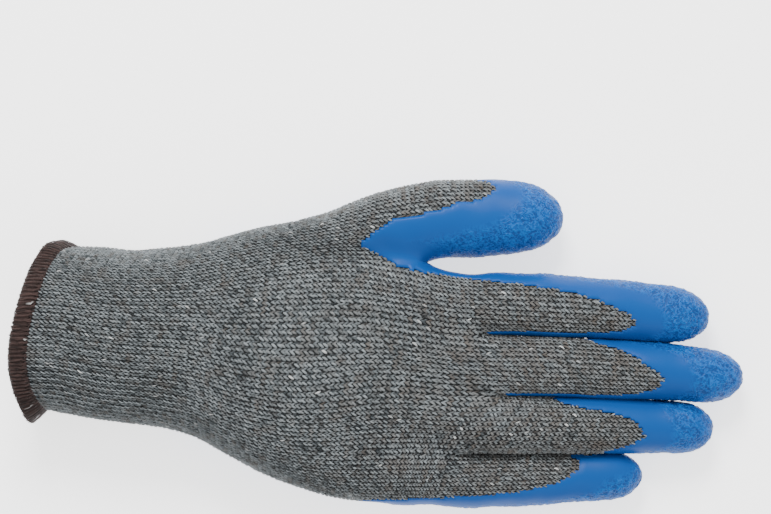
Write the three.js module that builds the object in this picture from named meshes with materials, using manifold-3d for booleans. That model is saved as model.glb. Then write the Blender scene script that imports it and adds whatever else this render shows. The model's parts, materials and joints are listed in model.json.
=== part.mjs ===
// A right-hand seamless knitted work glove with a crinkled latex coating, lying palm down.
// Millimetres. +X runs from the cuff to the fingertips, +Y to the thumb side, +Z out of the back of the hand.
import * as THREE from "three";
import { mergeVertices } from "three/addons/utils/BufferGeometryUtils.js";
import Module from "manifold-3d";

// The cloth and its layers
const KNIT_THICKNESS = 1.4;
const LATEX_THICKNESS = 0.85;
const LAYER_GAP = 0.35;
const HEM_WIDTH = 5.7;
const HEM_THICKNESS = 3.0;

// The hand. Widths are of the bare knit, across; lengths run from the crotch beside each finger.
const CUFF_LENGTH = 45;
const HAND_LENGTH = 108;
const CUFF_WIDTH = 60;
const CUFF_DEPTH = 40;
const HAND_DEPTH = 38;
const THUMB_WIDTH = 27;
const THUMB_DEPTH = 25;
const THUMB_LENGTH = 50.5;
const THUMB_LEAN = 0.03;
const INDEX_WIDTH = 19.3;
const INDEX_LENGTH = 83;
const MIDDLE_WIDTH = 18.5;
const MIDDLE_LENGTH = 91.8;
const RING_WIDTH = 17.9;
const RING_LENGTH = 86.5;
const LITTLE_WIDTH = 16.6;
const LITTLE_LENGTH = 71;
const FINGER_SPACING = 2.9;
const THUMB_SPACING = 3.4;

// How far the skin between two fingers, and beside the thumb, stands forward of the crotch
const FINGER_WEB = 1.4;
const THUMB_WEB = 2;

// How the rim of the cuff runs: further back over the back of the wrist and under the palm than at its sides,
// and further forward on the thumb side; the hem flares at the sides
const RIM_FORWARD = 3.5;
const RIM_BOW_BACK = 11;
const RIM_BOW_PALM = 9.5;
const RIM_SLANT = 8.5;
const RIM_SHARPNESS = 1.4;
const HEM_FLARE = 2.8;

// How deep the soft underside is pressed flat where it rests
const PRESS = 2.4;

// Spacing of the rings of faces along the hand and the fingers
const RING_STEP = 9;

const COAT_BUILD = LAYER_GAP + LATEX_THICKNESS;
const lerp = (a, b, t) => a + (b - a) * t;
const clamp01 = (t) => Math.min(1, Math.max(0, t));
const ease = (t) => clamp01(t) ** 2 * (3 - 2 * clamp01(t));

// The value of one column of a table at a place, on a smooth curve through its rows
function along(rows, at, column) {
  const last = rows.length - 1;
  if (at <= rows[0].at) return rows[0][column];
  if (at >= rows[last].at) return rows[last][column];
  const k = rows.findIndex((row) => row.at > at) - 1;
  const slope = (i) => {
    const a = rows[Math.max(0, i - 1)];
    const b = rows[Math.min(last, i + 1)];
    return (b[column] - a[column]) / (b.at - a.at);
  };
  const step = rows[k + 1].at - rows[k].at;
  const t = (at - rows[k].at) / step;
  const bend = t * (1 - t) * step;
  const straight = lerp(rows[k][column], rows[k + 1][column], ease(t));
  return straight + bend * ((1 - t) * slope(k) - t * slope(k + 1));
}

// The fingers side by side. Drift is the sideways lean over the length; heights are of the centre line above the
// pressed underside, as shares of the width; seam is the crotch on the thumb side, as a share of the hand's length.
const fingers = [
  { name: "index", width: INDEX_WIDTH, length: INDEX_LENGTH, drift: -0.055, root: 0.86, seam: 0.935 },
  { name: "middle", width: MIDDLE_WIDTH, length: MIDDLE_LENGTH, drift: -0.045, root: 0.92, seam: 0.95 },
  { name: "ring", width: RING_WIDTH, length: RING_LENGTH, drift: -0.02, root: 0.9, seam: 1.0 },
  { name: "little", width: LITTLE_WIDTH, length: LITTLE_LENGTH, drift: 0.035, root: 0.78, seam: 0.86 },
];
const ULNAR_SEAM = 0.8;
const handAt = (share) => CUFF_LENGTH + share * HAND_LENGTH;
const seams = [...fingers.map((finger) => finger.seam), ULNAR_SEAM];
const rootX = (n) => handAt((seams[n] + seams[n + 1]) / 2);
const handWidth = fingers.reduce((sum, finger) => sum + finger.width, 0) + (fingers.length - 1) * FINGER_SPACING;

// The line between thumb and hand, the thumb-side edge of the index and the little-finger edge of the hand
const webY = 0.34 * handWidth;
const ulnarY = -0.706 * handWidth;
const thumbCrotchX = handAt(0.75);

// Centre line of each finger at its root, laid out from the little-finger edge towards the thumb
let edge = ulnarY;
for (const finger of [...fingers].reverse()) {
  finger.y = edge + finger.width / 2;
  edge += finger.width + FINGER_SPACING;
}
const indexEdge = fingers[0].y + fingers[0].width / 2;

// Sections of the cuff and hand. radial and ulnar are the reach to the thumb side and to the other side, web that to
// the line between hand and thumb, depth the height above the ground, thumbDepth the same for the base of the thumb.
const cuffSection = (share, radial, ulnar) => ({
  at: share * CUFF_LENGTH,
  radial: radial * CUFF_WIDTH,
  web: 0.3 * CUFF_WIDTH,
  ulnar: ulnar * CUFF_WIDTH,
  depth: CUFF_DEPTH,
  thumbDepth: CUFF_DEPTH,
});
const palmSection = (share, radial, web, ulnar, depth, thumbDepth) => ({
  at: handAt(share),
  radial: radial * handWidth,
  web: web * handWidth,
  ulnar: ulnar * handWidth,
  depth: depth * HAND_DEPTH,
  thumbDepth: thumbDepth * HAND_DEPTH,
});
const thumbSection = (share, radial, web, ulnar, depth, thumbDepth) => ({
  at: handAt(share),
  radial: webY + radial * THUMB_WIDTH,
  web,
  ulnar: ulnar * handWidth,
  depth: depth * HAND_DEPTH,
  thumbDepth: thumbDepth * THUMB_DEPTH,
});
const sections = [
  cuffSection(0, 0.56, 0.42),
  cuffSection(0.32, 0.533, 0.473),
  cuffSection(0.63, 0.52, 0.497),
  cuffSection(0.89, 0.535, 0.527),
  palmSection(0.05, 0.415, 0.26, 0.436, 1.02, 0.95),
  palmSection(0.11, 0.437, 0.28, 0.487, 1.04, 0.9),
  palmSection(0.19, 0.464, 0.3, 0.544, 1.05, 0.84),
  palmSection(0.28, 0.495, 0.325, 0.6, 1.05, 0.78),
  thumbSection(0.39, 0.52, webY, 0.65, 1.03, 1.1),
  thumbSection(0.53, 0.72, webY, 0.689, 1, 1.05),
  thumbSection(0.63, 0.88, webY, 0.699, 0.97, 1),
  thumbSection(0.75, 1, webY, 0.706, 0.93, 1),
  thumbSection(1, 1, indexEdge, 0.706, 0.82, 1),
];
const THUMB_STARTS = handAt(0.08);
const KNUCKLES_START = handAt(0.56);
const CROTCH_SLANT = 0.075;

// How square the cuff and the hand are in section: 2 is an ellipse
const CUFF_SQUARENESS = 2.05;
const HAND_SQUARENESS = 2.35;

// Columns of the ring of faces: the back of the thumb has 5, the back of each finger 4, the palm side as many.
const THUMB_COLUMNS = 5;
const FINGER_COLUMNS = 4;
const backPoints = THUMB_COLUMNS + FINGER_COLUMNS * fingers.length + 1;
const bodySteps = backPoints + 1;

// Where each column of the hand lies across it, from the thumb side to the other, and the height of the finger roots
const roots = [];
for (let i = 0; i < backPoints; i += 1) {
  if (i < THUMB_COLUMNS) {
    roots.push(null);
    continue;
  }
  const k = i - THUMB_COLUMNS;
  const shared = fingers
    .map((f, n) => ({ f, j: k - n * FINGER_COLUMNS }))
    .filter(({ j }) => j >= 0 && j <= FINGER_COLUMNS)
    .map(({ f, j }) => {
      const angle = (Math.PI * (j + 1)) / (FINGER_COLUMNS + 2);
      const half = f.width / 2;
      return { y: f.y + half * Math.cos(angle), z: f.root * f.width, lift: 1.06 * half * Math.sin(angle) };
    });
  const mean = (key) => shared.reduce((sum, s) => sum + s[key], 0) / shared.length;
  roots.push({ y: mean("y"), z: mean("z"), lift: mean("lift") });
}
const acrossShare = (i) => (indexEdge - roots[i].y) / (indexEdge - ulnarY);

// One point of the cuff or hand: column i on the back (side = 1) or the palm (side = -1); i = -1 and i = backPoints
// are the points half way down the thumb side and the other side.
function bodyPoint(x, i, side) {
  const row = (column) => along(sections, x, column);
  const radial = row("radial");
  const ulnar = -row("ulnar");
  const web = row("web");
  const depth = row("depth");
  const middleZ = (depth - PRESS) / 2;
  const halfDepth = (depth + PRESS) / 2;

  // One rounded tube round wrist and hand
  const angle = (Math.PI * (i + 1)) / bodySteps;
  const power = 2 / lerp(CUFF_SQUARENESS, HAND_SQUARENESS, ease((x - CUFF_LENGTH) / (0.5 * HAND_LENGTH)));
  const c = Math.cos(angle);
  const tubeY = (radial + ulnar) / 2 + ((radial - ulnar) / 2) * Math.sign(c) * Math.abs(c) ** power;
  const tubeZ = middleZ + side * halfDepth * Math.max(0, Math.sin(angle)) ** power;

  // The base of the thumb beside the hand
  const thumbDepth = row("thumbDepth");
  const lobeY = (radial + web) / 2;
  const lobeHalf = (radial - web) / 2;
  const lobeZ = (thumbDepth - PRESS) / 2;
  const lobeHeight = (thumbDepth + PRESS) / 2;
  let apartY;
  let apartZ;
  const lobeAngle = (Math.PI * (i + 1)) / (THUMB_COLUMNS + 2);
  const lobeRise = lobeZ + side * lobeHeight * Math.max(0, Math.sin(lobeAngle));
  if (i < THUMB_COLUMNS) {
    apartY = lobeY + lobeHalf * Math.cos(lobeAngle);
    apartZ = lobeRise;
  } else {
    const share = i === backPoints ? 1 : acrossShare(i);
    const s = Math.abs(2 * share - 1);
    const rise = i === backPoints ? 0 : (1 - s ** HAND_SQUARENESS) ** (1 / HAND_SQUARENESS);
    const flatY = lerp(web, ulnar, share);
    const flatZ = middleZ + side * halfDepth * rise;
    const k = i === backPoints ? 0 : ease((x - KNUCKLES_START) / (handAt(1) - KNUCKLES_START));
    const root = i === backPoints ? { y: ulnar, z: middleZ, lift: 0 } : roots[i];
    apartY = lerp(flatY, root.y, k);
    apartZ = lerp(flatZ, root.z + side * root.lift, k);
    if (i === THUMB_COLUMNS && x <= thumbCrotchX) {
      apartY = web;
      apartZ = (apartZ + lobeRise) / 2;
    }
  }
  const apart = ease((x - THUMB_STARTS) / (thumbCrotchX - THUMB_STARTS));
  return { x, y: lerp(tubeY, apartY, apart), z: lerp(tubeZ, apartZ, apart) };
}

// The rim of the cuff, and the line across the hand from the thumb's crotch to the other side, for column i
function rimX(i, side) {
  const angle = (Math.PI * (i + 1)) / bodySteps;
  const bow = side > 0 ? RIM_BOW_BACK : RIM_BOW_PALM;
  return RIM_FORWARD + RIM_SLANT * Math.cos(angle) - bow * Math.max(0, Math.sin(angle)) ** RIM_SHARPNESS;
}
function crotchX(i) {
  const across = clamp01((i - THUMB_COLUMNS) / (backPoints - THUMB_COLUMNS));
  return thumbCrotchX - CROTCH_SLANT * HAND_LENGTH * across ** 2;
}

// Folds and hollows of the back: place along and across as shares of the hand's length and width, size and depth
// (a hollow is negative) as shares of the hand's depth, and heading in degrees from the length of the hand.
const folds = [
  { x: 0.56, y: 0.1, long: 0.42, across: 0.1, rise: -0.035, heading: -28 },
  { x: 0.63, y: 0.13, long: 0.34, across: 0.1, rise: 0.03, heading: -24 },
  { x: 0.78, y: -0.45, long: 0.3, across: 0.1, rise: -0.05, heading: 8 },
  { x: 0.38, y: 0.27, long: 0.45, across: 0.11, rise: -0.05, heading: 12 },
  { x: 0.1, y: -0.05, long: 0.3, across: 0.9, rise: -0.03, heading: 0 },
  { x: 0.3, y: -0.33, long: 0.5, across: 0.13, rise: -0.03, heading: -14 },
  { x: -0.2, y: 0.12, long: 0.32, across: 0.1, rise: -0.02, heading: 5 },
];
function folded(p) {
  if (p.z < 0.5 * HAND_DEPTH) return p;
  let rise = 0;
  for (const fold of folds) {
    const turn = (fold.heading * Math.PI) / 180;
    const dx = p.x - handAt(fold.x);
    const dy = p.y - fold.y * handWidth;
    const u = (dx * Math.cos(turn) + dy * Math.sin(turn)) / (fold.long * HAND_DEPTH);
    const v = (dy * Math.cos(turn) - dx * Math.sin(turn)) / (fold.across * HAND_DEPTH);
    rise += fold.rise * HAND_DEPTH * Math.exp(-u * u - v * v);
  }
  return { ...p, z: p.z + rise * ease((p.z / HAND_DEPTH - 0.5) / 0.3) };
}

// How a finger or thumb narrows along its shaft and comes down to the ground, before its rounded tip: shares of its
// width and height, and of the height of its centre line at the root
const fingerShape = [
  { at: 0, wide: 1, tall: 1.06, lower: 1 },
  { at: 0.2, wide: 0.99, tall: 1.02, lower: 0.93 },
  { at: 0.5, wide: 1, tall: 1, lower: 0.74 },
  { at: 0.8, wide: 0.96, tall: 0.95, lower: 0.57 },
  { at: 1, wide: 0.88, tall: 0.88, lower: 0.5 },
];
const thumbShape = [
  { at: 0, wide: 1, tall: 1, lower: 1 },
  { at: 0.3, wide: 0.99, tall: 0.98, lower: 0.98 },
  { at: 0.7, wide: 0.93, tall: 0.94, lower: 0.93 },
  { at: 1, wide: 0.82, tall: 0.88, lower: 0.88 },
];
const TIP_ROUNDING = 0.72;
const TIP_RINGS = [0.38, 0.7, 0.9];
const BEND = 1.5;

// The skin of the glove: points, faces and the ring of points round the rim
class Skin {
  constructor() {
    this.points = [];
    this.faces = [];
  }
  add({ x, y, z }) {
    const pressed = z <= 0;
    this.points.push({ x, y, z: pressed ? 0 : z, pressed });
    return this.points.length - 1;
  }
  band(ring, next) {
    for (let i = 0; i < ring.length; i += 1) {
      const j = (i + 1) % ring.length;
      this.faces.push([ring[i], ring[j], next[j], next[i]]);
    }
  }
  close(ring, tip) {
    ring.forEach((point, i) => this.faces.push([point, ring[(i + 1) % ring.length], tip]));
  }
}

// Sends a tube with a rounded tip out of a ring of points, round a centre line
function tube(skin, ring, { reach, width, height, centreY, centreZ, shape, lean }) {
  const start = ring.map((k) => skin.points[k]);
  const shaftEnd = reach - TIP_ROUNDING * width * along(shape, 1, "wide");
  const meanX = start.reduce((sum, p) => sum + p.x, 0) / start.length;
  const steps = Math.max(3, Math.round((shaftEnd - meanX) / RING_STEP));
  const rows = [];
  for (let k = 1; k <= steps; k += 1) rows.push({ share: k / steps, tip: 0 });
  for (const tip of TIP_RINGS) rows.push({ share: 1, tip });
  let previous = ring;
  let centre;
  for (const { share, tip } of rows) {
    const wideNow = (width / 2) * along(shape, share, "wide") * Math.sqrt(1 - tip * tip);
    const tallNow = (height / 2) * along(shape, share, "tall") * Math.sqrt(1 - tip * tip);
    const tipX = lerp(shaftEnd, reach, tip);
    const next = ring.map((_, i) => {
      const angle = (2 * Math.PI * i) / ring.length;
      const x = tip > 0 ? tipX : lerp(start[i].x, shaftEnd, share);
      const run = (x - meanX) / (reach - meanX);
      centre = { y: centreY + lean * (reach - meanX) * run ** BEND, z: centreZ * along(shape, share, "lower") };
      return skin.add({ x, y: centre.y + wideNow * Math.cos(angle), z: centre.z + tallNow * Math.sin(angle) });
    });
    skin.band(previous, next);
    previous = next;
  }
  skin.close(previous, skin.add({ x: reach, y: centreY + lean * (reach - meanX), z: centre.z }));
}

const skin = new Skin();

// Rings from the rim to the crotch of the thumb: the thumb side, over the back, the other side, under the palm
const bodyLoop = [{ i: -1, side: 1 }];
for (let i = 0; i < backPoints; i += 1) bodyLoop.push({ i, side: 1 });
bodyLoop.push({ i: backPoints, side: 1 });
for (let i = backPoints - 1; i >= 0; i -= 1) bodyLoop.push({ i, side: -1 });
const bodyRings = Math.round(thumbCrotchX / RING_STEP);
const rings = [];
for (let k = 0; k <= bodyRings; k += 1) {
  const share = k / bodyRings;
  const ring = bodyLoop.map(({ i, side }) => {
    const x = lerp(rimX(i, side), crotchX(i), share);
    return skin.add(folded(bodyPoint(x, i, side)));
  });
  if (k > 0) skin.band(rings[k - 1], ring);
  rings.push(ring);
}
const rim = rings[0];

// At the crotch the thumb leaves the hand: both share the back and palm points of the web and one between them
const crotch = rings[bodyRings];
const backAt = (loop, i) => loop[1 + i];
const palmAt = (loop, i) => loop[loop.length - 1 - i];
function webPoint(a, b, forward) {
  const [p, q] = [skin.points[a], skin.points[b]];
  return skin.add({ x: (p.x + q.x) / 2 + forward, y: (p.y + q.y) / 2, z: (p.z + q.z) / 2 });
}
const thumbWeb = webPoint(backAt(crotch, THUMB_COLUMNS), palmAt(crotch, THUMB_COLUMNS), THUMB_WEB);
const thumbLoop = [crotch[0]];
for (let i = 0; i <= THUMB_COLUMNS; i += 1) thumbLoop.push(backAt(crotch, i));
thumbLoop.push(thumbWeb);
for (let i = THUMB_COLUMNS; i >= 0; i -= 1) thumbLoop.push(palmAt(crotch, i));
tube(skin, thumbLoop, {
  reach: thumbCrotchX + THUMB_LENGTH,
  width: THUMB_WIDTH - THUMB_SPACING / 2,
  height: THUMB_DEPTH,
  centreY: webY + THUMB_SPACING / 2 + THUMB_WIDTH / 2,
  centreZ: (THUMB_DEPTH - PRESS / 3) / 2,
  shape: thumbShape,
  lean: THUMB_LEAN,
});

// The hand goes on alone to the roots of the fingers, whose crotches lie on one uneven line
const seamAt = (i) => {
  const k = (i - THUMB_COLUMNS) / FINGER_COLUMNS;
  const n = Math.min(fingers.length - 1, Math.floor(k));
  return handAt(lerp(seams[n], seams[n + 1], clamp01(k - n)));
};
const palmColumns = [];
for (let i = THUMB_COLUMNS; i < backPoints; i += 1) palmColumns.push({ i, side: 1 });
palmColumns.push({ i: backPoints, side: 1 });
for (let i = backPoints - 1; i >= THUMB_COLUMNS; i -= 1) palmColumns.push({ i, side: -1 });
let palmRing = [thumbWeb];
for (const { i, side } of palmColumns) {
  palmRing.push(i === backPoints ? crotch[1 + backPoints] : side > 0 ? backAt(crotch, i) : palmAt(crotch, i));
}
const PALM_RINGS = 3;
const startX = palmRing.map((k) => skin.points[k].x);
for (let k = 1; k <= PALM_RINGS; k += 1) {
  const share = k / PALM_RINGS;
  const next = [0, ...palmColumns].map((column, n) => {
    if (n === 0) {
      const x = lerp(startX[0], handAt(fingers[0].seam), share);
      const y = lerp(webY - THUMB_SPACING / 2, indexEdge, ease(share));
      const z = lerp(skin.points[thumbWeb].z, fingers[0].root * fingers[0].width, share);
      return skin.add({ x, y, z });
    }
    const x = lerp(startX[n], seamAt(column.i === backPoints ? backPoints - 1 : column.i), share);
    return skin.add(folded(bodyPoint(x, column.i, column.side)));
  });
  skin.band(palmRing, next);
  palmRing = next;
}

// Each finger leaves the seam with the web points that it shares with its neighbours
const backRoot = (i) => palmRing[1 + i - THUMB_COLUMNS];
const palmRoot = (i) => palmRing[palmRing.length - 1 - (i - THUMB_COLUMNS)];
const webs = fingers.map((f, n) => {
  if (n === 0) return palmRing[0];
  const i = THUMB_COLUMNS + n * FINGER_COLUMNS;
  return webPoint(backRoot(i), palmRoot(i), FINGER_WEB);
});
webs.push(palmRing[1 + backPoints - THUMB_COLUMNS]);
fingers.forEach((finger, n) => {
  const first = THUMB_COLUMNS + n * FINGER_COLUMNS;
  const loop = [webs[n]];
  for (let i = first; i <= first + FINGER_COLUMNS; i += 1) loop.push(backRoot(i));
  loop.push(webs[n + 1]);
  for (let i = first + FINGER_COLUMNS; i >= first; i -= 1) loop.push(palmRoot(i));
  tube(skin, loop, {
    reach: rootX(n) + finger.length,
    width: finger.width,
    height: finger.width,
    centreY: finger.y,
    centreZ: finger.root * finger.width,
    shape: fingerShape,
    lean: finger.drift,
  });
});

const vector = (p) => new THREE.Vector3(p.x, p.y, p.z);

// Each face is split along its shorter diagonal, alike in every layer
const between = (a, b) => vector(skin.points[a]).distanceTo(vector(skin.points[b]));
skin.triangles = skin.faces.flatMap((face) => {
  if (face.length === 3) return [face];
  const [a, b, c, d] = face;
  return between(a, c) < between(b, d) ? [[a, b, c], [a, c, d]] : [[a, b, d], [b, c, d]];
});

// The outward direction at each point of the skin
const normals = skin.points.map(() => new THREE.Vector3());
for (const face of skin.faces) {
  const corners = face.map((k) => vector(skin.points[k]));
  for (let k = 1; k + 1 < corners.length; k += 1) {
    const normal = corners[k].clone().sub(corners[0]).cross(corners[k + 1].clone().sub(corners[0]));
    face.forEach((point) => normals[point].add(normal));
  }
}
normals.forEach((normal) => normal.normalize());

// At a crease a point moves further, so that the faces beside it keep their distance
const mitres = skin.points.map(() => ({ sum: 0, count: 0 }));
for (const face of skin.faces) {
  face.forEach((point, k) => {
    const after = vector(skin.points[face[(k + 1) % face.length]]).sub(vector(skin.points[point]));
    const before = vector(skin.points[face.at(k - 1)]).sub(vector(skin.points[point]));
    mitres[point].sum += after.cross(before).normalize().dot(normals[point]);
    mitres[point].count += 1;
  });
}
const MOST_MITRE = 1.5;
const reachOut = mitres.map(({ sum, count }) => Math.min(MOST_MITRE, count / Math.max(sum, 0.01)));

// A layer of the skin, this far outside it (or inside, when negative). Pressed points keep a flat underside.
function layer(distance) {
  return skin.points.map((p, k) => {
    const q = vector(p).addScaledVector(normals[k], distance * reachOut[k]);
    q.z += COAT_BUILD;
    const ground = COAT_BUILD - distance;
    if (p.pressed || q.z < ground) q.z = ground;
    return q;
  });
}

// A closed mesh of lists of points and faces
function solid(points, faces) {
  const geometry = new THREE.BufferGeometry();
  geometry.setAttribute("position", new THREE.Float32BufferAttribute(points.flatMap((p) => [p.x, p.y, p.z]), 3));
  const triangles = [];
  for (const face of faces) {
    for (let k = 1; k + 1 < face.length; k += 1) triangles.push(face[0], face[k], face[k + 1]);
  }
  geometry.setIndex(triangles);
  return geometry;
}

// A wall between two layers of the given faces, closed along an edge ring
function wall(outer, inner, faces, edgeRing) {
  const shift = outer.length;
  const all = [...faces];
  for (const [a, b, c] of faces) all.push([a + shift, c + shift, b + shift]);
  edgeRing.forEach((a, i) => {
    const b = edgeRing[(i + 1) % edgeRing.length];
    all.push([b, a, a + shift, b + shift]);
  });
  return withoutLoosePoints([...outer, ...inner], all);
}

function withoutLoosePoints(points, faces) {
  const places = new Map();
  const kept = [];
  const renumbered = faces.map((face) =>
    face.map((k) => {
      if (!places.has(k)) {
        places.set(k, kept.length);
        kept.push(points[k]);
      }
      return places.get(k);
    }),
  );
  return solid(kept, renumbered);
}

const knitShell = wall(layer(0), layer(-KNIT_THICKNESS), skin.triangles, rim);

// The hem lies behind the rim as a rounded band round the opening
const hemOutline = [
  [0, -0.32], [0, 0.32], [0.12, 0.5], [0.8, 0.5], [1, 0.3], [1, -0.3], [0.8, -0.5], [0.12, -0.5],
];
function hemGeometry() {
  const middle = layer(-KNIT_THICKNESS / 2);
  const points = [];
  const faces = [];
  const size = hemOutline.length;
  rim.forEach((k, i) => {
    const out = normals[k].clone().setX(0).normalize();
    const flare = HEM_FLARE * Math.abs(out.y) ** 3;
    for (const [back, across] of hemOutline) {
      const p = middle[k].clone().addScaledVector(out, across * HEM_THICKNESS + flare * back);
      p.x -= LAYER_GAP + back * HEM_WIDTH;
      if (p.z < 0) p.z = 0;
      points.push(p);
    }
    const j = (i + 1) % rim.length;
    for (let a = 0; a < size; a += 1) {
      const b = (a + 1) % size;
      faces.push([i * size + a, i * size + b, j * size + b, j * size + a]);
    }
  });
  return solid(points, faces);
}

// Where the latex leaves the knit bare, seen from above. Each strip follows a finger: place along it as a share of
// its length, distance from its centre line as a share of its half width, first up one side and back down the other.
const bareThumb = [
  [-0.17, 0.8], [-0.03, 0.84], [0.12, 0.89], [0.31, 0.92], [0.48, 0.9], [0.56, 0.75], [0.52, 0.54], [0.41, 0.42],
  [0.29, 0.36], [0.175, 0.2], [0.02, 0.07], [-0.11, 0], [-0.19, -0.12], [-0.29, -0.34], [-0.37, -0.62],
];
const bareFingers = {
  index: [
    [-0.3, 1.02], [-0.12, 0.84], [0.07, 0.73], [0.24, 0.68], [0.42, 0.53], [0.565, 0.25], [0.635, 0],
    [0.68, -0.37], [0.64, -0.68], [0.565, -0.78], [0.42, -0.83], [0.24, -0.84], [0.1, -0.86], [0, -0.95],
  ],
  middle: [
    [0.03, 1.09], [0.43, 1.09], [0.51, 0.85], [0.57, 0.69], [0.68, 0.2], [0.71, -0.2], [0.69, -0.5],
    [0.594, -0.76], [0.51, -0.82], [0.4, -0.84], [0.2, -0.84], [0.08, -0.95],
  ],
  ring: [
    [0.13, 0.86], [0.355, 0.72], [0.595, 0.52], [0.686, 0.22],
    [0.73, -0.35], [0.65, -0.7], [0.57, -0.8], [0.52, -1.15],
  ],
  little: [
    [0.64, 0.8], [0.71, 0.5], [0.69, 0.2], [0.576, -0.22], [0.43, -0.46], [0.23, -0.56],
    [0, -0.6], [-0.3, -0.58], [-0.5, -0.64],
  ],
};

// The latex ends at this share of the index finger's width above the ground, lower by the second number times the
// way past the thumb's crotch
const EDGE_LEVEL = 0.48;
const FINGER_FALL = 0.04;
const FAR = 2 * (CUFF_LENGTH + HAND_LENGTH);

function barePoints() {
  const thumbY = webY + (THUMB_SPACING + THUMB_WIDTH) / 2;
  const thumbHalf = THUMB_WIDTH / 2 + COAT_BUILD;
  const outline = [
    [handAt(0.6), FAR],
    ...bareThumb.map(([a, s]) => [thumbCrotchX + a * THUMB_LENGTH, thumbY + s * thumbHalf]),
  ];
  fingers.forEach((finger, n) => {
    const half = finger.width / 2 + COAT_BUILD;
    for (const [a, s] of bareFingers[finger.name]) {
      const run = a * finger.length;
      outline.push([rootX(n) + run, finger.y + finger.drift * run + s * half]);
    }
  });
  outline.push([handAt(0.42), -FAR], [-FAR, -FAR], [-FAR, FAR]);
  return outline.map(([x, y]) => new THREE.Vector2(x, y));
}

// The wrist edge of the latex under the palm: place across the cuff from the thumb side, place along the cuff
const wristEdge = [
  { at: -0.5, x: 1.38 }, { at: 0.03, x: 1.27 }, { at: 0.2, x: 0.98 }, { at: 0.33, x: 0.84 },
  { at: 0.5, x: 0.77 }, { at: 0.7, x: 0.73 }, { at: 0.85, x: 0.76 }, { at: 0.97, x: 0.87 }, { at: 1.5, x: 1.1 },
];
const WRIST_STEPS = 14;
function wristPoints() {
  const [first, last] = [wristEdge[0], wristEdge[wristEdge.length - 1]];
  const outline = [];
  for (let k = 0; k <= WRIST_STEPS; k += 1) {
    const at = lerp(first.at, last.at, k / WRIST_STEPS);
    const y = sections[0].radial - at * CUFF_WIDTH;
    outline.push(new THREE.Vector2(along(wristEdge, at, "x") * CUFF_LENGTH, y));
  }
  outline.push(new THREE.Vector2(-FAR, outline[WRIST_STEPS].y), new THREE.Vector2(-FAR, outline[0].y));
  return outline;
}

const wasm = await Module();
wasm.setup();
function toManifold(geometry) {
  const merged = mergeVertices(geometry, 1e-4);
  return new wasm.Manifold(
    new wasm.Mesh({
      numProp: 3,
      vertProperties: Float32Array.from(merged.attributes.position.array),
      triVerts: Uint32Array.from(merged.index.array),
    }),
  );
}
function toGeometry(manifold) {
  const mesh = manifold.getMesh();
  const geometry = new THREE.BufferGeometry();
  geometry.setAttribute("position", new THREE.BufferAttribute(Float32Array.from(mesh.vertProperties), 3));
  geometry.setIndex(new THREE.BufferAttribute(Uint32Array.from(mesh.triVerts), 1));
  return geometry;
}
function cutter(outline, bottom, fall) {
  const shape = new THREE.Shape(outline);
  const block = new THREE.ExtrudeGeometry(shape, { depth: FAR, bevelEnabled: false });
  for (const name of ["normal", "uv"]) block.deleteAttribute(name);
  const place = block.attributes.position;
  for (let k = 0; k < place.count; k += 1) {
    place.setZ(k, place.getZ(k) + bottom - fall * (place.getX(k) - thumbCrotchX));
  }
  return toManifold(block);
}

// The coating covers the skin from a ring behind its wrist edge to the fingertips, less what stays bare
const COAT_START = 0.62;
function coatGeometry() {
  const firstRing = Math.floor((COAT_START * CUFF_LENGTH) / RING_STEP);
  const skipped = new Set(rings.slice(0, firstRing).flat());
  const faces = skin.triangles.filter((face) => !face.some((k) => skipped.has(k)));
  const whole = toManifold(wall(layer(COAT_BUILD), layer(LAYER_GAP), faces, rings[firstRing]));
  const back = cutter(barePoints(), EDGE_LEVEL * INDEX_WIDTH, FINGER_FALL);
  const wrist = cutter(wristPoints(), -FAR / 2, 0);
  return toGeometry(whole.subtract(back).subtract(wrist));
}

const finish = (color, roughness) => new THREE.MeshStandardMaterial({ color, roughness, metalness: 0 });
const knitYarn = finish("#757b7a", 0.9);
const blueLatex = finish("#0b62b4", 0.45);
const brownThread = finish("#48322e", 0.85);

function piece(name, geometry, material) {
  const mesh = new THREE.Mesh(geometry, material);
  mesh.name = name;
  return mesh;
}
const glove = new THREE.Group();
glove.add(piece("knit_shell", knitShell, knitYarn));
glove.add(piece("latex_coating", coatGeometry(), blueLatex));
glove.add(piece("cuff_hem", hemGeometry(), brownThread));

// The origin is the middle of the underside
const box = new THREE.Box3().setFromObject(glove);
const centre = box.getCenter(new THREE.Vector3());
glove.position.set(-centre.x, -centre.y, -box.min.z);
glove.updateMatrixWorld(true);

export default glove;
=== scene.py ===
# %% [markdown]
# # A knitted work glove with a crinkled latex palm
#
# The real glove is knitted in one piece, dipped in latex on the palm side, and overlocked at the cuff. The
# scene follows that: one cage of quads is grown ring by ring from the rim of the cuff, first wrist and hand,
# then the thumb, then the hand on its own, then each finger. Subdivision turns the cage into smooth skin, and
# every stitch of the knit and every cell of the latex is placed on it by wale (across) and course (along).
# Sculpting could give the same form, but a skin that counts its columns lets the knit run along each finger.

# %% Setup
import itertools
import json
import math

import bmesh
import bpy
import numpy as np
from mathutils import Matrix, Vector, kdtree, noise

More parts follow.
